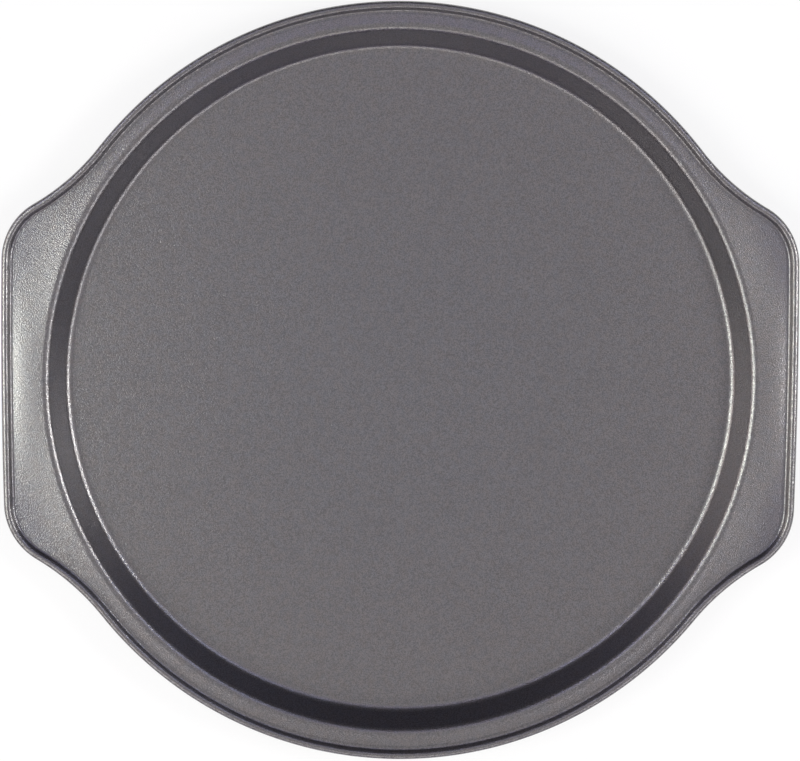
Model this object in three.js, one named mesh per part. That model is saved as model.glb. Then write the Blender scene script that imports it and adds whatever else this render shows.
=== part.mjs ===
// Round baking pan with two grip wings. One steel sheet is pressed into a floor, a sloped wall, a land that
// falls a little outwards and two wings, and its edge is curled over a steel wire all the way round.
// Millimetres, +Z up. The origin is the centre of the floor's underside, on which the pan stands.
// The wings reach along +X and -X.
import * as THREE from "three";

// Sheet and wire
const sheetThickness = 0.8;
const wireDiameter = 1.8;
const wireClearance = 0.3; // all round the wire, inside the curl
const wireButtGap = 1; // between the two ends of the wire hoop

// Basin, on the upper face of the sheet
const mouthDiameter = 353.9; // where the wall and the land would meet without a bend
const basinDepth = 14; // from the crest of the lip down to the floor
const wallDraft = 32.6; // degrees from upright

// Bends, each radius on the hollow side of the sheet
const floorBendRadius = 2.4;
const lipBendRadius = 2.8;
const riseBendRadius = 1; // from the land up into the rim

// Land and rim
const landWidth = 6.53; // ring between the crest of the lip and the rise of the rim, where there is no wing
const landFall = 6.3; // degrees that the land and the wings fall outwards
const rimRise = 2.95; // top of the rim above the land's outer edge
const curlGap = 0.5; // left between the sheet's edge and the underside that it curls back to

// Wings
const gripReach = 8.85; // past the round rim
const gripLength = 123.5; // of the outer edge between its two corners
const gripEdgeRadius = 4500; // the outer edge bows out by less than half a millimetre
const gripCornerRadius = 32.6;
const neckRadius = 115.5; // hollow curve from the round rim out to a corner

// Facets: how far a flat facet may lie inside the true curve
const outlineSag = 0.15;
const bendSag = 0.05;
const wireSides = 10;

// Heights and radii that follow from the sizes above
const quarterTurn = Math.PI / 2;
const wallAngle = quarterTurn - THREE.MathUtils.degToRad(wallDraft); // from level
const fallAngle = THREE.MathUtils.degToRad(landFall);
const crestHeight = sheetThickness + basinDepth;
const lipOuterRadius = lipBendRadius + sheetThickness;
const lipRun = lipOuterRadius * Math.tan(wallAngle / 2);
const landStart = mouthDiameter / 2 + lipRun;
const floorRun = floorBendRadius * Math.tan(wallAngle / 2);
const floorEnd = mouthDiameter / 2 - basinDepth / Math.tan(wallAngle) - floorRun;
const boreRadius = wireDiameter / 2 + wireClearance;
const curlRadius = boreRadius + sheetThickness;
const riseSpan = curlRadius + riseBendRadius; // from the centre of the curl to the centre of the rise
const riseAngle = Math.acos(1 - rimRise / riseSpan);
const riseInset = curlRadius + riseSpan * Math.sin(riseAngle);
const wireHeight = crestHeight + rimRise - curlRadius; // with no fall of the land
const rimRadius = landStart + landWidth + riseInset;

function polar(radius, angle) {
  return new THREE.Vector2(radius * Math.cos(angle), radius * Math.sin(angle));
}

// An arc as a curve. A negative sweep runs clockwise.
function arc(centre, radius, start, sweep) {
  return new THREE.EllipseCurve(centre.x, centre.y, radius, radius, start, start + sweep, sweep < 0);
}

// How many facets an arc takes for its facets to lie within sag of it.
function facets(radius, sweep, sag) {
  return Math.max(1, Math.ceil(Math.abs(sweep) / (2 * Math.acos(1 - sag / radius))));
}

// The outline of the rim, seen from above and run anticlockwise: half of it, from the middle of the front
// past the +X wing to the middle of the back, as arcs that meet in line.
function halfOutline() {
  const origin = new THREE.Vector2();
  const edgeCentre = new THREE.Vector2(rimRadius + gripReach - gripEdgeRadius, 0);
  const edgeAngle = Math.asin(gripLength / 2 / gripEdgeRadius);
  const corner = polar(gripEdgeRadius - gripCornerRadius, edgeAngle).add(edgeCentre);

  // The neck touches the round rim and the corner, so its centre is one radius from each of them.
  const toNeck = rimRadius + neckRadius;
  const toCorner = corner.length();
  const cornerToNeck = gripCornerRadius + neckRadius;
  const cosine = (toNeck ** 2 + toCorner ** 2 - cornerToNeck ** 2) / (2 * toNeck * toCorner);
  const neckAngle = corner.angle() + Math.acos(cosine);
  const neck = polar(toNeck, neckAngle);

  const cornerEnd = neck.clone().sub(corner).angle();
  const cornerSweep = cornerEnd - edgeAngle;
  const neckSweep = neckAngle - cornerEnd;
  const roundSweep = quarterTurn - neckAngle;
  const mirrored = (v) => new THREE.Vector2(v.x, -v.y);
  return [
    [origin, rimRadius, -quarterTurn, roundSweep],
    [mirrored(neck), neckRadius, Math.PI - neckAngle, neckSweep],
    [mirrored(corner), gripCornerRadius, -cornerEnd, cornerSweep],
    [edgeCentre, gripEdgeRadius, -edgeAngle, 2 * edgeAngle],
    [corner, gripCornerRadius, edgeAngle, cornerSweep],
    [neck, neckRadius, Math.PI + cornerEnd, neckSweep],
    [origin, rimRadius, neckAngle, roundSweep],
  ];
}

// Stations round the outline: a point on the rim's outer edge, with the direction along it. They lie close
// enough for the outline and for the round basin inside it, which both take their facets from them.
// The second half of the outline is the first turned by half a turn.
function outlineStations() {
  const half = halfOutline().flatMap(([centre, radius, start, sweep]) => {
    const curve = arc(centre, radius, start, sweep);
    const bearings = [curve.getPoint(0).angle(), curve.getPoint(1).angle()];
    const basinSweep = THREE.MathUtils.euclideanModulo(bearings[1] - bearings[0], 2 * Math.PI);
    const count = Math.max(facets(radius, sweep, outlineSag), facets(landStart, basinSweep, outlineSag));
    return Array.from({ length: count }, (_, i) => ({
      point: curve.getPoint(i / count),
      along: curve.getTangent(i / count),
    }));
  });
  const turned = half.map(({ point, along }) => ({
    point: point.clone().negate(),
    along: along.clone().negate(),
  }));
  return [...half, ...turned];
}

const stations = outlineStations();

// A ring of the basin: a circle about the axis, with its points on the same bearings as the stations.
function basinRing({ x: radius, y: height }) {
  return stations.map(({ point }) => {
    const onCircle = polar(radius, point.angle());
    return new THREE.Vector3(onCircle.x, onCircle.y, height);
  });
}

// How far the land has fallen where it meets the rise of the rim, which is more on the wings than between them.
function landDrop(point) {
  const width = point.length() - riseInset - landStart;
  const bends = (lipOuterRadius + riseBendRadius) * (1 / Math.cos(fallAngle) - 1);
  return width * Math.tan(fallAngle) - bends;
}

// A point of the rim's section at one station. The section's x runs out from the outer edge, square to it.
function rimPoint({ point, along }, { x, y: height }) {
  return new THREE.Vector3(point.x + x * along.y, point.y - x * along.x, height - landDrop(point));
}

function rimRing(sectionPoint) {
  return stations.map((station) => rimPoint(station, sectionPoint));
}

// The points of a bend in the sheet's section, on one face of the sheet.
function bend(x, height, radius, start, sweep) {
  return arc(new THREE.Vector2(x, height), radius, start, sweep).getPoints(facets(radius, sweep, bendSag));
}

// A closed skin: a pole, rings of equal length, and a pole, each joined to the next.
function skin(firstPole, rings, lastPole) {
  const count = rings[0].length;
  const points = [firstPole, ...rings.flat(), lastPole];
  const last = points.length - 1;
  const triangles = [];
  for (let i = 0; i < count; i++) {
    const next = (i + 1) % count;
    triangles.push(0, 1 + i, 1 + next);
    for (let ring = 0; ring + 1 < rings.length; ring++) {
      const inner = 1 + ring * count;
      const outer = inner + count;
      triangles.push(inner + i, outer + i, outer + next, inner + i, outer + next, inner + next);
    }
    triangles.push(last, last - count + next, last - count + i);
  }
  return new THREE.BufferGeometry().setFromPoints(points).setIndex(triangles);
}

// The pressed sheet: its upper face from the middle of the floor out to the curl, and its lower face back.
function panBodyGeometry() {
  const floorCentre = [floorEnd, sheetThickness + floorBendRadius];
  const lipCentre = [landStart, crestHeight - lipOuterRadius];
  const riseCentre = [-riseInset, crestHeight + riseBendRadius];
  const curlCentre = [-curlRadius, wireHeight];
  const lowerFloorRadius = floorBendRadius + sheetThickness;
  const lowerRiseRadius = riseBendRadius + sheetThickness;

  // The curl goes on round the wire until its edge is curlGap from the underside of the rise.
  const edgeSpan = lowerRiseRadius + curlGap;
  const cosine = (curlRadius ** 2 + riseSpan ** 2 - edgeSpan ** 2) / (2 * curlRadius * riseSpan);
  const openAngle = Math.acos(cosine);
  const curlStart = quarterTurn + riseAngle;
  const curlSweep = openAngle - 2 * Math.PI;

  const upperBasin = [
    ...bend(...floorCentre, floorBendRadius, -quarterTurn, wallAngle),
    ...bend(...lipCentre, lipOuterRadius, quarterTurn + wallAngle, -wallAngle - fallAngle),
  ];
  const upperRise = bend(...riseCentre, riseBendRadius, -quarterTurn - fallAngle, fallAngle + riseAngle);
  const outerCurl = bend(...curlCentre, curlRadius, curlStart, curlSweep);
  const innerCurl = bend(...curlCentre, boreRadius, curlStart + curlSweep, -curlSweep);
  const lowerRise = bend(...riseCentre, lowerRiseRadius, riseAngle - quarterTurn, -riseAngle - fallAngle);
  const lowerBasin = [
    ...bend(...lipCentre, lipBendRadius, quarterTurn - fallAngle, wallAngle + fallAngle),
    ...bend(...floorCentre, lowerFloorRadius, wallAngle - quarterTurn, -wallAngle),
  ];
  // The rise ends where the curl starts, so one of the two shared points is dropped on each face.
  const rim = [...upperRise, ...outerCurl.slice(1), ...innerCurl, ...lowerRise.slice(1)];
  const rings = [...upperBasin.map(basinRing), ...rim.map(rimRing), ...lowerBasin.map(basinRing)];
  return skin(new THREE.Vector3(0, 0, sheetThickness), rings, new THREE.Vector3());
}

// The wire hoop inside the curl. Its two ends meet, a small gap apart, in the middle of the front.
function rimWireGeometry() {
  const radius = wireDiameter / 2;
  const centre = new THREE.Vector2(-curlRadius, wireHeight);
  const section = Array.from({ length: wireSides }, (_, i) =>
    polar(radius, (2 * Math.PI * i) / wireSides).add(centre),
  );
  const [joint, ...others] = stations;
  const endAt = (distance) => ({
    point: joint.point.clone().addScaledVector(joint.along, distance),
    along: joint.along,
  });
  const firstEnd = endAt(wireButtGap / 2);
  const lastEnd = endAt(-wireButtGap / 2);
  const path = [firstEnd, ...others, lastEnd];
  const rings = path.map((station) => section.map((p) => rimPoint(station, p)));
  return skin(rimPoint(firstEnd, centre), rings, rimPoint(lastEnd, centre));
}

function piece(name, geometry, material) {
  const mesh = new THREE.Mesh(geometry, material);
  mesh.name = name;
  return mesh;
}

const nonStickCoat = new THREE.MeshStandardMaterial({ color: 0x6b696c, roughness: 0.45, metalness: 0.8 });
const drawnWire = new THREE.MeshStandardMaterial({ color: 0xa8a9ab, roughness: 0.35, metalness: 1 });

const pan = new THREE.Group();
pan.add(piece("pan_body", panBodyGeometry(), nonStickCoat));
pan.add(piece("rim_wire", rimWireGeometry(), drawnWire));

export default pan;
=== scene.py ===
"""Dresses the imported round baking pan: a coated pressed sheet with a wired, rolled rim, in a white studio.

Everything is in metres, in the frame of the CAD solids: +Z up, the origin at the centre of the floor's
underside, the two grip wings along +X and -X.
"""

import logging
import math
from dataclasses import dataclass
from enum import Enum

import bpy
import numpy as np
from mathutils import Matrix, Vector


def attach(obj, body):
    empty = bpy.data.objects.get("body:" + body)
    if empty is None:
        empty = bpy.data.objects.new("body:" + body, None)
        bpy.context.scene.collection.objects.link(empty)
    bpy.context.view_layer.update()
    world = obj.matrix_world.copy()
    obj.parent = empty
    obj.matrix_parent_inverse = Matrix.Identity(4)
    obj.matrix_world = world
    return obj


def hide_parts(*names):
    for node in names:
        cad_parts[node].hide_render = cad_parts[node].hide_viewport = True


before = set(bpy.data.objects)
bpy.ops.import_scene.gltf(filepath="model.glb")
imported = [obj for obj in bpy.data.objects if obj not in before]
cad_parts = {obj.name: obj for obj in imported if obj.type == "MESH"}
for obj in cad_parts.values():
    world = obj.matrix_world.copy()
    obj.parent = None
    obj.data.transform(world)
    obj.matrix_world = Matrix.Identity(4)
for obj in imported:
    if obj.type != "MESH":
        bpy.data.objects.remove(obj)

LOG = logging.getLogger("round_baking_pan")
QUARTER_TURN = math.pi / 2

Array = np.ndarray
Number = float | np.ndarray
Colour = tuple[float, float, float]
Span = tuple[float, float]

WHITE: Colour = (1.0, 1.0, 1.0)
NOISE_SPAN: Span = (0.3, 0.7)  # within which most values of a noise pattern lie


class Slot(Enum):
    """Material slots of the record."""

    NONSTICK_COAT = "nonstick_coat"
    DRAWN_WIRE = "drawn_wire"


class Node(Enum):
    """CAD nodes that the dressed pieces stand for."""

    PAN_BODY = "pan_body"
    RIM_WIRE = "rim_wire"


@dataclass(frozen=True)
class SheetSizes:
    """Sizes of the pressed sheet and its wire.

    Bend radii are on the hollow side of the sheet. The bends are rounder than those of the solids, and the
    mouth, the wall and the land's width are set to suit them. The other sizes are the solids' own.
    """

    thickness: float = 0.0008
    wire_radius: float = 0.0009
    wire_clearance: float = 0.0003
    wire_butt_gap: float = 0.001
    mouth_radius: float = 0.17655
    depth: float = 0.014
    wall_draft: float = math.radians(30.6)
    floor_bend: float = 0.0048
    lip_bend: float = 0.0036
    rise_bend: float = 0.00155
    land_width: float = 0.00589
    land_fall: float = math.tan(math.radians(6.3))
    rim_rise: float = 0.00295
    curl_gap: float = 0.0005
    grip_reach: float = 0.00885
    grip_length: float = 0.1235
    grip_edge_radius: float = 4.5
    grip_corner: float = 0.0326
    neck_radius: float = 0.1155

    @property
    def wall_angle(self) -> float:
        """Slope of the wall from level, in radians."""
        return QUARTER_TURN - self.wall_draft

    @property
    def crest_height(self) -> float:
        """Height of the lip's crest, where the land starts."""
        return self.thickness + self.depth

    @property
    def lip_outer(self) -> float:
        """Radius of the lip on its upper face."""
        return self.lip_bend + self.thickness

    @property
    def land_start(self) -> float:
        """Radius of the lip's crest, where the land starts."""
        return self.mouth_radius + self.lip_outer * math.tan(self.wall_angle / 2)

    @property
    def floor_end(self) -> float:
        """Radius at which the flat floor ends and its bend starts."""
        run = self.depth / math.tan(self.wall_angle)
        return self.mouth_radius - run - self.floor_bend * math.tan(self.wall_angle / 2)

    @property
    def bore(self) -> float:
        """Radius of the hollow of the curl, in which the wire lies."""
        return self.wire_radius + self.wire_clearance

    @property
    def curl(self) -> float:
        """Outer radius of the curl."""
        return self.bore + self.thickness

    @property
    def rise_span(self) -> float:
        """Distance between the centres of the curl and of the rise."""
        return self.curl + self.rise_bend

    @property
    def rise_angle(self) -> float:
        """Steepest slope of the rise from the land to the curl, in radians."""
        return math.acos(1 - self.rim_rise / self.rise_span)

    @property
    def rise_inset(self) -> float:
        """Distance from the outer edge in to where the rise starts."""
        return self.curl + self.rise_span * math.sin(self.rise_angle)

    @property
    def wire_height(self) -> float:
        """Height of the centre of the wire and the curl, if the land didn't fall."""
        return self.crest_height + self.rim_rise - self.curl

    @property
    def rim_radius(self) -> float:
        """Outer radius of the rim where there is no wing."""
        return self.land_start + self.land_width + self.rise_inset

    def rim_drop(self, reach: Array) -> Array:
        """Drop of the rim at a reach of its edge: the land's slope times its width, less what bends save."""
        bends = (self.lip_outer + self.rise_bend) * (math.hypot(1, self.land_fall) - 1)
        return (reach - self.rise_inset - self.land_start) * self.land_fall - bends


@dataclass(frozen=True)
class RimOutline:
    """The outline of the rim seen from above, as arcs that meet in line, run anticlockwise."""

    sizes: SheetSizes

    def arcs(self) -> Array:
        """Works out the outline's arcs from the middle of the front.

        The neck's centre is one neck radius outside both the round rim and the corner circle, which gives
        its bearing by the cosine rule.

        Returns:
            Rows of centre x, centre y, radius, start angle and sweep.
        """
        s = self.sizes
        rim = s.rim_radius
        edge_x = rim + s.grip_reach - s.grip_edge_radius
        edge_angle = math.asin(s.grip_length / 2 / s.grip_edge_radius)
        to_corner = s.grip_edge_radius - s.grip_corner
        corner_x = edge_x + to_corner * math.cos(edge_angle)
        corner_y = to_corner * math.sin(edge_angle)
        corner_reach = math.hypot(corner_x, corner_y)
        neck_reach = rim + s.neck_radius
        sides = neck_reach**2 + corner_reach**2 - (s.grip_corner + s.neck_radius) ** 2
        bearing = math.atan2(corner_y, corner_x) + math.acos(sides / (2 * neck_reach * corner_reach))
        neck_x, neck_y = neck_reach * math.cos(bearing), neck_reach * math.sin(bearing)
        corner_end = math.atan2(neck_y - corner_y, neck_x - corner_x)
        corner_sweep, neck_sweep = corner_end - edge_angle, bearing - corner_end
        round_sweep = QUARTER_TURN - bearing
        half = np.array(
            [
                (0, 0, rim, -QUARTER_TURN, round_sweep),
                (neck_x, -neck_y, s.neck_radius, math.pi - bearing, neck_sweep),
                (corner_x, -corner_y, s.grip_corner, -corner_end, corner_sweep),
                (edge_x, 0, s.grip_edge_radius, -edge_angle, 2 * edge_angle),
                (corner_x, corner_y, s.grip_corner, edge_angle, corner_sweep),
                (neck_x, neck_y, s.neck_radius, math.pi + corner_end, neck_sweep),
                (0, 0, rim, bearing, round_sweep),
            ]
        )
        turned = half * (-1, -1, 1, 1, 1) + (0, 0, 0, math.pi, 0)
        return np.vstack([half, turned])

    def stations(self, count: int) -> tuple[Array, Array]:
        """Points spaced evenly along the outline.

        Args:
            count: How many points.

        Returns:
            The points, and the unit directions that look out of the pan there, both as (count, 2) arrays.
        """
        arcs = self.arcs()
        lengths = arcs[:, 2] * np.abs(arcs[:, 4])
        ends = np.cumsum(lengths)
        along = np.linspace(0, ends[-1], count, endpoint=False)
        index = np.searchsorted(ends, along, side="right")
        centre = arcs[index, :2]
        radius, start, sweep = arcs[index, 2:].T
        share = 1 - (ends[index] - along) / lengths[index]
        angle = start + sweep * share
        spoke = np.stack([np.cos(angle), np.sin(angle)], axis=1)
        return centre + radius[:, None] * spoke, spoke * np.sign(sweep)[:, None]


def arc_points(
    centre: tuple[Number, Number], radius: Number, start: Number, sweep: Number, count: int
) -> Array:
    """Points of arcs in the sections of all stations, ends included: centre + radius (cos a, sin a).

    Args:
        centre: Across and up.
        radius: Of the arc.
        start: First angle in radians.
        sweep: Angle that the arc runs through, negative for clockwise.
        count: How many steps.

    Returns:
        An array of (stations, count + 1, 2): across and up. An arc that is the same all round has one
        station.
    """
    angle = start + sweep * np.linspace(0, 1, count + 1)[None, :]
    across = centre[0] + radius * np.cos(angle)
    up = centre[1] + radius * np.sin(angle)
    return np.stack(np.broadcast_arrays(across, up), axis=2)


def grid_normals(grid: Array) -> Array:
    """Unit normals of a grid closed along its first axis: the cross product of its central differences.

    Args:
        grid: Points, as an array of (stations, points, 3).

    Returns:
        Normals, as an array of the same shape.
    """
    round_rim = np.roll(grid, -1, axis=0) - np.roll(grid, 1, axis=0)
    across = np.empty_like(grid)
    across[:, 1:-1] = grid[:, 2:] - grid[:, :-2]
    across[:, 0] = grid[:, 1] - grid[:, 0]
    across[:, -1] = grid[:, -1] - grid[:, -2]
    normals = np.cross(across, round_rim)
    return normals / np.linalg.norm(normals, axis=2, keepdims=True)


def grid_quads(stations: int, points: int) -> Array:
    """Vertex numbers of the quads of a grid closed along its first axis.

    Vertex (station, point) has the number station * points + point.

    Args:
        stations: Length of the grid's first axis.
        points: Length of its second axis.

    Returns:
        An array of (quads, 4).
    """
    first = np.arange(stations)[:, None] * points
    following = (first + points) % (stations * points)
    point = np.arange(points - 1)[None, :]
    corners = [first + point, first + point + 1, following + point + 1, following + point]
    return np.stack(np.broadcast_arrays(*corners), axis=-1).reshape(-1, 4)


def mesh_object(name: str, vertices: Array, faces: list[list[int]], normals: Array) -> bpy.types.Object:
    """Makes a smooth mesh object at the origin.

    Args:
        name: Of the object and its mesh.
        vertices: An array of (vertices, 3).
        faces: Vertex numbers of each face, anticlockwise seen from outside.
        normals: The unit normal to shade each vertex with.

    Returns:
        The object, linked to the scene.
    """
    mesh = bpy.data.meshes.new(name)
    mesh.from_pydata(vertices.tolist(), [], faces)
    mesh.shade_smooth()
    mesh.normals_split_custom_set_from_vertices(normals.tolist())
    obj = bpy.data.objects.new(name, mesh)
    bpy.context.scene.collection.objects.link(obj)
    return obj


def give_uv(mesh: bpy.types.Mesh, name: str, places: Array) -> None:
    """Gives a mesh a UV map.

    Args:
        mesh: Of the piece.
        name: Of the UV map.
        places: The u and v of each vertex, as an array of (vertices, 2).
    """
    numbers = np.empty(len(mesh.loops), dtype=np.int32)
    mesh.loops.foreach_get("vertex_index", numbers)
    layer = mesh.uv_layers.new(name=name)
    layer.data.foreach_set("uv", places[numbers].astype(np.float32).ravel())


class Graph:
    """A material's or the world's node tree, emptied, with short ways to add and join nodes."""

    def __init__(self, owner: bpy.types.Material | bpy.types.World) -> None:
        """Empties the owner's tree.

        Args:
            owner: Of the tree.
        """
        owner.use_nodes = True
        self.tree = owner.node_tree
        self.tree.nodes.clear()

    def add(self, kind: str, **settings: object) -> bpy.types.Node:
        """Adds a node.

        Args:
            kind: The node's type name without its ShaderNode start.
            settings: Properties of the node.

        Returns:
            The node.
        """
        node = self.tree.nodes.new("ShaderNode" + kind)
        for name, value in settings.items():
            setattr(node, name, value)
        return node

    def join(self, source: bpy.types.NodeSocket, target: bpy.types.NodeSocket) -> None:
        """Links an output to an input."""
        self.tree.links.new(source, target)

    def noise(self, place: bpy.types.NodeSocket, scale: float, detail: float) -> bpy.types.NodeSocket:
        """Adds a noise pattern.

        Args:
            place: Where the pattern is read.
            scale: Lumps to a metre.
            detail: Finer layers added.

        Returns:
            Its value, from 0 to 1.
        """
        node = self.add("TexNoise")
        node.inputs["Scale"].default_value = scale
        node.inputs["Detail"].default_value = detail
        self.join(place, node.inputs["Vector"])
        return node.outputs["Fac"]

    def mapped(self, value: bpy.types.NodeSocket, span: Span, to: Span) -> bpy.types.NodeSocket:
        """Maps a value from one span to another, held at its ends.

        Args:
            value: To map.
            span: Of the value.
            to: What the span's ends turn into.

        Returns:
            The mapped value.
        """
        node = self.add("MapRange")
        for socket, number in zip(("From Min", "From Max", "To Min", "To Max"), (*span, *to)):
            node.inputs[socket].default_value = number
        self.join(value, node.inputs["Value"])
        return node.outputs["Result"]

    def axis(self, place: bpy.types.NodeSocket, name: str) -> bpy.types.NodeSocket:
        """Takes one axis of a place.

        Args:
            place: Of three axes.
            name: X, Y or Z.

        Returns:
            The place along that axis.
        """
        node = self.add("SeparateXYZ")
        self.join(place, node.inputs["Vector"])
        return node.outputs[name]

    def band(self, value: bpy.types.NodeSocket, start: Span, end: Span) -> bpy.types.NodeSocket:
        """Makes a share that rises from 0 to 1 over one span of a value, and falls to 0 over a later one.

        Args:
            value: That the share goes by.
            start: Span of the rise.
            end: Span of the fall.

        Returns:
            The share.
        """
        node = self.add("Math", operation="MINIMUM")
        self.join(self.mapped(value, start, (0, 1)), node.inputs[0])
        self.join(self.mapped(value, end, (1, 0)), node.inputs[1])
        return node.outputs["Value"]

    def greater(self, one: bpy.types.NodeSocket, other: bpy.types.NodeSocket) -> bpy.types.NodeSocket:
        """Takes the greater of two values.

        Args:
            one: Value.
            other: Value.

        Returns:
            The greater of them.
        """
        node = self.add("Math", operation="MAXIMUM")
        self.join(one, node.inputs[0])
        self.join(other, node.inputs[1])
        return node.outputs["Value"]

    def mixed(self, share: bpy.types.NodeSocket, low: Colour, high: Colour) -> bpy.types.NodeSocket:
        """Mixes two colours.

        Args:
            share: Of the second colour.
            low: First colour.
            high: Second colour.

        Returns:
            The mixture.
        """
        node = self.add("MixRGB")
        node.inputs["Color1"].default_value = (*low, 1)
        node.inputs["Color2"].default_value = (*high, 1)
        self.join(share, node.inputs["Fac"])
        return node.outputs["Color"]

    def multiplied(self, colour: bpy.types.NodeSocket, tint: bpy.types.NodeSocket) -> bpy.types.NodeSocket:
        """Multiplies a colour by a tint.

        Args:
            colour: To tint.
            tint: To multiply it by.

        Returns:
            The tinted colour.
        """
        node = self.add("MixRGB", blend_type="MULTIPLY")
        node.inputs["Fac"].default_value = 1.0
        self.join(colour, node.inputs["Color1"])
        self.join(tint, node.inputs["Color2"])
        return node.outputs["Color"]


@dataclass(frozen=True)
class NonStickCoat:
    """Dark grey baked coat: metal flake under a clear, glossy and finely pebbled top."""

    shade: Colour = (0.096, 0.0904, 0.0989)
    glint: Colour = (0.176, 0.1655, 0.1812)
    warm: Colour = (1.0, 0.98, 0.94)
    cool: Colour = (0.94, 0.98, 1.0)
    middle_tint: Colour = (0.985, 0.995, 1.0)
    edge_tint: Colour = (1.0, 0.985, 0.955)
    edge_radii: Span = (0.05, 0.16)
    roughness: Span = (0.48, 0.51)
    top_roughness: float = 0.15
    top_ior: float = 2.0
    grain_scale: float = 2000.0
    grain_height: float = 0.0001
    # painted shade: darker, bluer colour for the wall
    wall_shade_tint: Colour = (0.76, 0.76, 0.85)
    wall_heights: Span = (0.0022, 0.0125)
    wall_fade: float = 0.001
    # painted shade in the crease at the foot of the rim
    foot_shade_tint: Colour = (0.7, 0.7, 0.74)
    foot_inset: float = 0.0061
    foot_width: float = 0.0015
    tint_scale: float = 260.0
    cloud_scale: float = 30.0

    def material(self) -> bpy.types.Material:
        """Builds the coat: flecks and bump from one fine grain, tint and roughness from slower clouds.

        Returns:
            The material.
        """
        material = bpy.data.materials.new(Slot.NONSTICK_COAT.value)
        graph = Graph(material)
        place = graph.add("TexCoord").outputs["Object"]
        grain = graph.noise(place, self.grain_scale, detail=0.0)
        patches = graph.noise(place, self.tint_scale, detail=1.0)
        clouds = graph.noise(place, self.cloud_scale, detail=2.0)
        flecks = graph.mixed(graph.mapped(grain, NOISE_SPAN, (0, 1)), self.shade, self.glint)
        tint = graph.mixed(graph.mapped(patches, NOISE_SPAN, (0, 1)), self.warm, self.cool)
        bump = graph.add("Bump")
        bump.inputs["Strength"].default_value = 1.0
        bump.inputs["Distance"].default_value = self.grain_height
        graph.join(grain, bump.inputs["Height"])
        shader = graph.add("BsdfPrincipled")
        shader.inputs["Metallic"].default_value = 1.0
        shader.inputs["Coat Weight"].default_value = 1.0
        shader.inputs["Coat Roughness"].default_value = self.top_roughness
        shader.inputs["Coat IOR"].default_value = self.top_ior
        colour = graph.multiplied(flecks, tint)
        # tint that is warmer towards the edge, by distance from the middle
        colour = graph.multiplied(colour, self.edge_warmth(graph, place))
        # painted shade: the wall is darkened and blued by its height
        colour = graph.multiplied(colour, self.painted_wall_shade(graph, place))
        # painted shade: a dark ring in the crease at the foot of the rim
        colour = graph.multiplied(colour, self.painted_rim_foot_shade(graph))
        graph.join(colour, shader.inputs["Base Color"])
        graph.join(graph.mapped(clouds, NOISE_SPAN, self.roughness), shader.inputs["Roughness"])
        graph.join(bump.outputs["Normal"], shader.inputs["Normal"])
        graph.join(bump.outputs["Normal"], shader.inputs["Coat Normal"])
        graph.join(shader.outputs["BSDF"], graph.add("OutputMaterial").inputs["Surface"])
        return material

    def edge_warmth(self, graph: Graph, place: bpy.types.NodeSocket) -> bpy.types.NodeSocket:
        """Tint by the distance from the middle of the floor: the coat is a little warmer towards the edge.

        Args:
            graph: Of the material.
            place: Object coordinates.

        Returns:
            The tint.
        """
        radius = graph.add("VectorMath", operation="LENGTH")
        graph.join(place, radius.inputs[0])
        share = graph.mapped(radius.outputs["Value"], self.edge_radii, (0, 1))
        return graph.mixed(share, self.middle_tint, self.edge_tint)

    def painted_wall_shade(self, graph: Graph, place: bpy.types.NodeSocket) -> bpy.types.NodeSocket:
        """Painted shade on the wall by its height: the wall is coloured darker and bluer than the floor and
        the land.

        Args:
            graph: Of the material.
            place: Object coordinates.

        Returns:
            A colour that is white on the floor and on the land.
        """
        low, high = self.wall_heights
        start, end = (low, low + self.wall_fade), (high, high + self.wall_fade)
        return graph.mixed(graph.band(graph.axis(place, "Z"), start, end), WHITE, self.wall_shade_tint)

    def painted_rim_foot_shade(self, graph: Graph) -> bpy.types.NodeSocket:
        """Painted shade in the crease at the foot of the rim, by the sheet's UV map.

        Args:
            graph: Of the material.

        Returns:
            A colour that is white away from the crease.
        """
        across = graph.axis(graph.add("TexCoord").outputs["UV"], "Y")
        middle, half = 1 - self.foot_inset, self.foot_width / 2
        start, end = (middle - half, middle), (middle, middle + half)
        return graph.mixed(graph.band(across, start, end), WHITE, self.foot_shade_tint)


@dataclass(frozen=True)
class DrawnWire:
    """Bare drawn steel wire with fine streaks along it."""

    shade: Colour = (0.33, 0.335, 0.345)
    light: Colour = (0.46, 0.465, 0.47)
    roughness: Span = (0.28, 0.42)
    streaks: tuple[float, float, float] = (60.0, 14.0, 1.0)

    def material(self) -> bpy.types.Material:
        """Builds the bare wire: noise drawn out along it, on its own UV map.

        Returns:
            The material.
        """
        material = bpy.data.materials.new(Slot.DRAWN_WIRE.value)
        graph = Graph(material)
        mapping = graph.add("Mapping")
        mapping.inputs["Scale"].default_value = self.streaks
        graph.join(graph.add("TexCoord").outputs["UV"], mapping.inputs["Vector"])
        streak = graph.noise(mapping.outputs["Vector"], scale=1.0, detail=2.0)
        shader = graph.add("BsdfPrincipled")
        shader.inputs["Metallic"].default_value = 1.0
        graph.join(graph.mixed(streak, self.shade, self.light), shader.inputs["Base Color"])
        graph.join(graph.mapped(streak, NOISE_SPAN, self.roughness), shader.inputs["Roughness"])
        graph.join(shader.outputs["BSDF"], graph.add("OutputMaterial").inputs["Surface"])
        return material


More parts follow.
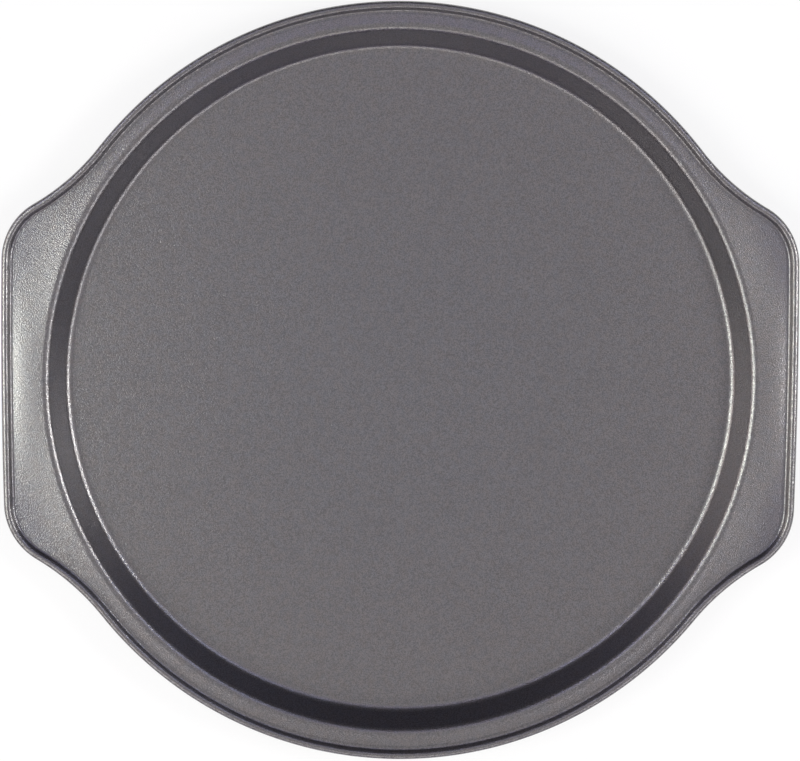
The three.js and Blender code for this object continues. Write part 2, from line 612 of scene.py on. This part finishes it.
@dataclass(frozen=True)
class FloorPaper:
    """White seamless paper that glows white where it is looked at, so that only a faint shadow shows on it.
    """

    shade: Colour = (0.86, 0.86, 0.86)
    light: Colour = (0.9, 0.9, 0.9)
    mottle_scale: float = 6.0
    mottle_detail: float = 3.0
    roughness: float = 0.8
    sheen: float = 0.2
    glow: float = 0.8

    def material(self) -> bpy.types.Material:
        """Builds the paper: matt white with the faintest mottle, glowing white where it is looked at.

        The glow shows to the camera, in gloss and through glass, and gives the pan no light of its own.
        The paper is see-through from below, so that the pan's underside can be looked at.

        Returns:
            The material.
        """
        material = bpy.data.materials.new("floor_paper")
        graph = Graph(material)
        place = graph.add("TexCoord").outputs["Object"]
        mottle = graph.noise(place, self.mottle_scale, self.mottle_detail)
        shader = graph.add("BsdfPrincipled")
        shader.inputs["Roughness"].default_value = self.roughness
        shader.inputs["Specular IOR Level"].default_value = self.sheen
        graph.join(graph.mixed(mottle, self.shade, self.light), shader.inputs["Base Color"])
        rays = graph.add("LightPath").outputs
        looked_at = graph.greater(rays["Is Camera Ray"], rays["Is Glossy Ray"])
        looked_at = graph.greater(looked_at, rays["Is Transmission Ray"])
        blend = graph.add("MixShader")
        graph.join(graph.mapped(looked_at, (0, 1), (0, self.glow)), blend.inputs["Fac"])
        graph.join(shader.outputs["BSDF"], blend.inputs[1])
        graph.join(graph.add("Emission").outputs["Emission"], blend.inputs[2])
        below = graph.add("MixShader")
        graph.join(graph.add("NewGeometry").outputs["Backfacing"], below.inputs["Fac"])
        graph.join(blend.outputs["Shader"], below.inputs[1])
        graph.join(graph.add("BsdfTransparent").outputs["BSDF"], below.inputs[2])
        graph.join(below.outputs["Shader"], graph.add("OutputMaterial").inputs["Surface"])
        return material


@dataclass
class PanBody:
    """The pressed sheet: floor, wall, lip, land with its two wings, and the rim curled over the wire.

    The land is a little hollow where it is narrow, and the wings are a little crowned. A crown says how
    much flatter than its mean slope the land is at the lip, and how much steeper it is at the rise.
    """

    sizes: SheetSizes
    finish: NonStickCoat
    stations: int = 540
    land_crown: Span = (-0.045, -0.045)
    wing_crown: Span = (0.045, 0.09)
    crown_span: float = 0.05
    basin_shift: tuple[float, float] = (0.0003, 0.0005)
    floor_rings: int = 6
    land_rings: int = 10
    bend_steps: int = 12
    curl_steps: int = 36

    def section(self, crown: Array, width: Array) -> Array:
        """Works out the sheet's section: out along its upper face, round the curl and back underneath.

        A row with mix 0 is on a circle about the axis, of the given radius. A row with mix 1 is on the
        outline, moved out by the given offset. The land lies between. The rim sinks by the land's slope
        times its width.

        Args:
            crown: Of the land at the lip and at the rise, by station.
            width: Of the land, by station.

        Returns:
            Radius, offset, mix and height, as an array of (4, stations, rows).
        """
        s = self.sizes
        wall, rise = s.wall_angle, s.rise_angle
        lip_fall = np.arctan(s.land_fall - crown[:, :1])
        rise_fall = np.arctan(s.land_fall + crown[:, 1:])
        floor_centre = (s.floor_end, s.thickness + s.floor_bend)
        lip_centre = (s.land_start, s.crest_height - s.lip_outer)
        span = width - s.lip_outer * np.sin(lip_fall) - s.rise_bend * np.sin(rise_fall)
        bends = s.lip_outer * (1 - np.cos(lip_fall)) + s.rise_bend * (1 - np.cos(rise_fall))
        sink = bends + span * s.land_fall
        rise_centre = (-s.rise_inset, s.crest_height - sink + s.rise_bend)
        curl_centre = (-s.curl, s.wire_height - sink)
        edge_span = s.rise_bend + s.thickness + s.curl_gap
        sides = s.curl**2 + s.rise_span**2 - edge_span**2
        curl_start = QUARTER_TURN + rise
        curl_sweep = math.acos(sides / (2 * s.curl * s.rise_span)) - 2 * math.pi
        lip_end, rise_start = QUARTER_TURN - lip_fall, -QUARTER_TURN - rise_fall
        under_floor, under_rise = s.floor_bend + s.thickness, s.rise_bend + s.thickness
        steps, turns = self.bend_steps, self.curl_steps

        floor = s.floor_end * np.linspace(0, 1, self.floor_rings + 2)[1:-1]
        upper_floor = np.stack([floor, np.full_like(floor, s.thickness)], axis=1)[None]
        lower_floor = np.stack([floor[::-1], np.zeros_like(floor)], axis=1)[None]
        lip = arc_points(lip_centre, s.lip_outer, QUARTER_TURN + wall, -wall - lip_fall, steps)
        swell = arc_points(rise_centre, s.rise_bend, rise_start, rise + rise_fall, steps)
        under_swell = arc_points(rise_centre, under_rise, rise - QUARTER_TURN, -rise - rise_fall, steps)
        under_lip = arc_points(lip_centre, s.lip_bend, lip_end, wall + lip_fall, steps)
        runs = [
            self.on_basin(upper_floor),
            self.on_basin(arc_points(floor_centre, s.floor_bend, -QUARTER_TURN, wall, steps)),
            self.on_basin(lip),
            self.on_land(lip[:, -1:], swell[:, :1], crown * span),
            self.on_rim(swell[:, :-1]),
            self.on_rim(arc_points(curl_centre, s.curl, curl_start, curl_sweep, turns)),
            self.on_rim(arc_points(curl_centre, s.bore, curl_start + curl_sweep, -curl_sweep, turns)),
            self.on_rim(under_swell[:, 1:]),
            self.on_land(under_lip[:, :1], under_swell[:, -1:], crown * span)[:, :, ::-1],
            self.on_basin(under_lip),
            self.on_basin(arc_points(floor_centre, under_floor, wall - QUARTER_TURN, -wall, steps)),
            self.on_basin(lower_floor),
        ]
        return np.concatenate(runs, axis=2)

    def on_basin(self, points: Array) -> Array:
        """Section rows on circles about the axis, from points of radius and height."""
        return self.spread(points[..., 0], 0, 0, points[..., 1])

    def on_rim(self, points: Array) -> Array:
        """Section rows on the outline, from points of offset and height."""
        return self.spread(0, points[..., 0], 1, points[..., 1])

    def on_land(self, inner: Array, outer: Array, swell: Array) -> Array:
        """Section rows across the land, which stands off the straight line by u (1 - u) ((1 - u) a + u b).

        Args:
            inner: Radius and height where it leaves the lip.
            outer: Offset and height where it meets the rise.
            swell: The a and b of the formula, which are crown times width, by station.

        Returns:
            Rows without the two ends.
        """
        mix = np.linspace(0, 1, self.land_rings + 2)[None, 1:-1]
        bow = mix * (1 - mix) * ((1 - mix) * swell[:, :1] + mix * swell[:, 1:])
        height = (1 - mix) * inner[..., 1] + mix * outer[..., 1] + bow
        return self.spread(inner[..., 0], outer[..., 0], mix, height)

    def spread(self, radius: Number, offset: Number, mix: Number, height: Array) -> Array:
        """Section rows for all stations, as an array of (4, stations, rows)."""
        whole = np.broadcast_to(height, (self.stations, height.shape[1]))
        return np.stack([np.broadcast_to(value, whole.shape) for value in (radius, offset, mix, whole)])

    def surface(self) -> tuple[Array, Array]:
        """Carries the section round the outline.

        A point is (1 - mix) (radius b + shift) + mix (p + offset n) across and height up, where p is the
        station's point on the outline, n its outward direction, b the direction from the axis to it and
        shift how far the basin lies off the rim's centre. The land's crown turns into the wings' towards
        their middles, by exp(-(y / span)^2).

        Returns:
            A grid of (stations, section points, 3), and how far its points lie out from the rim's edge.
        """
        s = self.sizes
        points, outward = RimOutline(s).stations(self.stations)
        reach = np.linalg.norm(points, axis=1, keepdims=True)
        share = np.exp(-((points[:, 1:] / self.crown_span) ** 2))
        crown = (1 - share) * np.array(self.land_crown) + share * np.array(self.wing_crown)
        width = reach - s.rise_inset - s.land_start
        radius, offset, mix, height = self.section(crown, width)[..., None]
        basin = radius * (points / reach)[:, None, :] + self.basin_shift
        rim = points[:, None, :] + offset * outward[:, None, :]
        plan = (1 - mix) * basin + mix * rim
        across = (1 - mix) * (radius - reach[:, None]) + mix * offset
        return np.concatenate([plan, height], axis=2), across[..., 0]

    def build(self) -> bpy.types.Object:
        """Makes the sheet as one closed mesh, the two middles of its floor closed by fans of triangles.

        Returns:
            The dressed piece.
        """
        grid, across = self.surface()
        stations, points, _ = grid.shape
        top, bottom = stations * points, stations * points + 1
        first = np.arange(stations) * points
        last = first + points - 1
        top_fan = np.stack([np.full(stations, top), first, np.roll(first, -1)], axis=1)
        bottom_fan = np.stack([np.full(stations, bottom), np.roll(last, -1), last], axis=1)
        faces = grid_quads(stations, points).tolist() + top_fan.tolist() + bottom_fan.tolist()
        vertices = np.vstack([grid.reshape(-1, 3), (0, 0, self.sizes.thickness), (0, 0, 0)])
        normals = np.vstack([grid_normals(grid).reshape(-1, 3), (0, 0, 1), (0, 0, -1)])
        piece = mesh_object("coated_sheet", vertices, faces, normals)
        self.unwrap(piece.data, across)
        return self.dress(piece)

    def unwrap(self, mesh: bpy.types.Mesh, across: Array) -> None:
        """Gives the sheet a UV map: u runs once round the rim, v is 1 plus the distance out from its edge.

        Args:
            mesh: Of the sheet, whose last two vertices are the middles of the floor.
            across: How far the other vertices lie out from the rim's edge, by station.
        """
        turns = np.repeat(np.arange(self.stations) / self.stations, across.shape[1])
        middles = np.full(2, -self.sizes.rim_radius)
        u = np.append(turns, (0, 0))
        v = 1 + np.append(across.ravel(), middles)
        give_uv(mesh, "across", np.stack([u, v], axis=1))

    def dress(self, piece: bpy.types.Object) -> bpy.types.Object:
        """Coats the sheet, ties it to its body and hides the CAD node's part that it stands for.

        Args:
            piece: The bare sheet.

        Returns:
            The same piece.
        """
        piece.data.materials.append(self.finish.material())
        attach(piece, "root")
        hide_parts(Node.PAN_BODY.value)
        return piece


@dataclass
class RimWire:
    """The wire hoop inside the curl, with its two ends a small gap apart in the middle of the front."""

    sizes: SheetSizes
    finish: DrawnWire
    stations: int = 600
    sides: int = 20

    def surface(self) -> Array:
        """Carries a circle round the outline: p - curl n + radius (cos a n + sin a up), less its drop.

        Here p is the station's point on the outline and n its outward direction. The first and last
        stations lie half the butt gap either side of the middle of the front.

        Returns:
            A grid of (stations + 1, sides, 3).
        """
        s = self.sizes
        points, outward = RimOutline(s).stations(self.stations)
        points = np.vstack([points, points[:1]])
        outward = np.vstack([outward, outward[:1]])
        points[0, 0] += s.wire_butt_gap / 2
        points[-1, 0] -= s.wire_butt_gap / 2
        angle = np.linspace(0, 2 * math.pi, self.sides, endpoint=False)
        out = (s.wire_radius * np.cos(angle) - s.curl)[None, :, None]
        plan = points[:, None, :] + out * outward[:, None, :]
        drop = s.rim_drop(np.linalg.norm(points, axis=1))[:, None, None]
        up = s.wire_height - drop + s.wire_radius * np.sin(angle)[None, :, None]
        return np.concatenate([plan, up], axis=2)

    def build(self) -> bpy.types.Object:
        """Makes the wire as a tube with two flat ends.

        Returns:
            The dressed piece.
        """
        grid = self.surface()
        stations, sides, _ = grid.shape
        first = np.arange(stations - 1)[:, None] * sides
        side = np.arange(sides)[None, :]
        after = (side + 1) % sides
        corners = [first + side, first + sides + side, first + sides + after, first + after]
        quads = np.stack(np.broadcast_arrays(*corners), axis=-1).reshape(-1, 4)
        ends = [list(range(sides)), list(range((stations - 1) * sides, stations * sides))[::-1]]
        centre = grid.mean(axis=1, keepdims=True)
        normals = (grid - centre) / self.sizes.wire_radius
        faces = quads.tolist() + ends
        piece = mesh_object("rim_wire_hoop", grid.reshape(-1, 3), faces, normals.reshape(-1, 3))
        self.unwrap(piece.data, stations, sides)
        return self.dress(piece)

    def unwrap(self, mesh: bpy.types.Mesh, stations: int, sides: int) -> None:
        """Gives the tube a UV map: u runs once round the rim, v once round the wire.

        Args:
            mesh: Of the tube.
            stations: How many circles of vertices it has.
            sides: How many vertices a circle has.
        """
        u = np.repeat(np.arange(stations) / (stations - 1), sides)
        v = np.tile(np.arange(sides) / sides, stations)
        give_uv(mesh, "turns", np.stack([u, v], axis=1))

    def dress(self, piece: bpy.types.Object) -> bpy.types.Object:
        """Gives the wire its bare steel, ties it to its body and hides the CAD node's part that it stands
        for.

        Args:
            piece: The bare wire.

        Returns:
            The same piece.
        """
        piece.data.materials.append(self.finish.material())
        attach(piece, "root")
        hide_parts(Node.RIM_WIRE.value)
        return piece


@dataclass(frozen=True)
class Softbox:
    """A soft lamp aimed at the middle of the pan. Its angles are in degrees, seen from there.

    The bearing runs from +X and the elevation from level. Spread and rise are how wide and how high it
    looks. Brightness is what it would look like in the picture, with white as 1.
    """

    name: str
    bearing: float
    elevation: float
    spread: float
    rise: float
    brightness: float
    colour: Colour
    distance: float = 1.7

    def place(self) -> bpy.types.Object:
        """Makes the lamp as an area light, whose power is pi times its area times its brightness.

        Returns:
            The lamp, linked to the scene.
        """
        light = bpy.data.lights.new(self.name, "AREA")
        light.shape = "RECTANGLE"
        light.size = 2 * self.distance * math.tan(math.radians(self.spread) / 2)
        light.size_y = 2 * self.distance * math.tan(math.radians(self.rise) / 2)
        light.energy = math.pi * light.size * light.size_y * self.brightness
        light.color = self.colour
        lamp = bpy.data.objects.new(self.name, light)
        lamp.visible_camera = False
        bearing, elevation = math.radians(self.bearing), math.radians(self.elevation)
        level = math.cos(elevation)
        way = Vector((level * math.cos(bearing), level * math.sin(bearing), math.sin(elevation)))
        turn = way.to_track_quat("Z", "Y").to_matrix().to_4x4()
        lamp.matrix_world = Matrix.Translation(way * self.distance) @ turn
        bpy.context.scene.collection.objects.link(lamp)
        return lamp


@dataclass(frozen=True)
class Studio:
    """White floor, a surround that is dim at the horizon, and soft lamps on all four sides.

    Each lamp's row gives its name, bearing, elevation, spread, rise, brightness and colour.
    """

    paper: FloorPaper
    floor_side: float = 40.0
    floor_level: float = -0.0002
    horizon: Colour = (0.012, 0.012, 0.02)
    zenith: Colour = (0.46, 0.444, 0.46)
    fade: Span = (0.6, 0.9)
    lamps: tuple[Softbox, ...] = (
        Softbox("right_softbox", 7, 38, 18, 14, 16.0, (1.0, 0.97, 0.94)),
        Softbox("right_side_softbox", 352, 40, 18, 14, 3.2, (0.94, 0.97, 1.0)),
        Softbox("right_high_softbox", 0, 58, 24, 10, 0.5, (1.0, 1.0, 0.78)),
        Softbox("left_softbox", 176, 46, 20, 12, 10.0, (1.0, 1.0, 0.9)),
        Softbox("left_side_softbox", 192, 44, 20, 12, 5.8, (0.95, 1.0, 0.92)),
        Softbox("left_low_softbox", 176, 22, 40, 12, 3.0, (1.0, 0.88, 0.85)),
        Softbox("left_high_softbox", 188, 58, 10, 8, 7.2, (0.94, 1.0, 0.95)),
        Softbox("front_left_softbox", 225, 38, 30, 18, 3.35, (1.0, 0.94, 0.93)),
        Softbox("front_softbox", 270, 36, 30, 16, 2.4, (1.0, 0.96, 0.9)),
        Softbox("front_right_softbox", 315, 38, 30, 18, 3.35, (1.0, 0.97, 1.0)),
        Softbox("front_low_softbox", 270, 20, 60, 14, 0.5, (0.65, 0.58, 1.0)),
        Softbox("back_left_softbox", 143, 44, 24, 12, 2.8, (0.67, 0.67, 1.0)),
        Softbox("back_right_softbox", 45, 44, 30, 12, 2.3, (0.61, 0.67, 1.0)),
        Softbox("back_high_softbox", 90, 60, 40, 14, 0.48, (0.63, 0.56, 1.0)),
    )

    def build(self) -> None:
        """Lays the floor, lights the surround and places the lamps."""
        plan = np.array([(-1, -1), (1, -1), (1, 1), (-1, 1)]) * (self.floor_side / 2)
        corners = np.column_stack([plan, np.full(len(plan), self.floor_level)])
        up = np.tile((0.0, 0.0, 1.0), (len(plan), 1))
        floor = mesh_object("studio_floor", corners, [list(range(len(plan)))], up)
        floor.data.materials.append(self.paper.material())
        bpy.context.scene.world = self.surround()
        for lamp in self.lamps:
            lamp.place()

    def surround(self) -> bpy.types.World:
        """Makes the surround, which fades from the horizon's grey to the zenith's by height.

        Returns:
            The world.
        """
        world = bpy.data.worlds.new("studio_surround")
        graph = Graph(world)
        height = graph.axis(graph.add("TexCoord").outputs["Generated"], "Z")
        share = graph.mapped(height, self.fade, (0, 1))
        background = graph.add("Background")
        graph.join(graph.mixed(share, self.horizon, self.zenith), background.inputs["Color"])
        graph.join(background.outputs["Background"], graph.add("OutputWorld").inputs["Surface"])
        return world


@dataclass(frozen=True)
class OverheadCamera:
    """The camera over the pan, leaning a little to the back and to the right.

    Its focal length and the place of the pan's axis are in pixels of the picture.
    """

    image: tuple[int, int] = (800, 761)
    focal: float = 2400.0
    metres_per_pixel: float = 0.00049984
    pan_centre: tuple[float, float] = (398.7, 385.75)
    pan_height: float = 0.0156
    lean_right: float = math.radians(0.8)
    lean_back: float = math.radians(5.5)
    roll: float = math.radians(0.4026)
    sensor: float = 36.0

    def place(self) -> bpy.types.Object:
        """Places the camera so that the pan's axis, at the rim's height, falls on its pixel.

        Returns:
            The camera, set as the scene's.
        """
        data = bpy.data.cameras.new("overhead_camera")
        data.sensor_width = self.sensor
        data.lens = self.sensor * self.focal / self.image[0]
        camera = bpy.data.objects.new("overhead_camera", data)
        away = Vector((math.tan(self.lean_right), math.tan(self.lean_back), 1)).normalized()
        level = (Vector((1, 0, 0)) - away * away.x).normalized()
        ahead = away.cross(level)
        right = math.cos(self.roll) * level + math.sin(self.roll) * ahead
        up = math.cos(self.roll) * ahead - math.sin(self.roll) * level
        aside = (self.image[0] / 2 - self.pan_centre[0]) * self.metres_per_pixel
        above = (self.pan_centre[1] - self.image[1] / 2) * self.metres_per_pixel
        axis = Vector((0, 0, self.pan_height))
        place = axis + away * self.focal * self.metres_per_pixel + right * aside + up * above
        camera.matrix_world = Matrix.Translation(place) @ Matrix((right, up, away)).transposed().to_4x4()
        bpy.context.scene.collection.objects.link(camera)
        bpy.context.scene.camera = camera
        return camera


def main() -> None:
    """Builds the camera, the pan's pieces and the studio, in that order."""
    logging.basicConfig(level=logging.INFO, format="%(name)s: %(message)s")
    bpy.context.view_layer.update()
    bpy.context.scene.view_settings.view_transform = "Standard"
    sizes = SheetSizes()
    OverheadCamera().place()
    for piece in (PanBody(sizes, NonStickCoat()).build(), RimWire(sizes, DrawnWire()).build()):
        LOG.info("%s: %d faces", piece.name, len(piece.data.polygons))
    Studio(FloorPaper()).build()


if __name__ == "__main__":
    main()
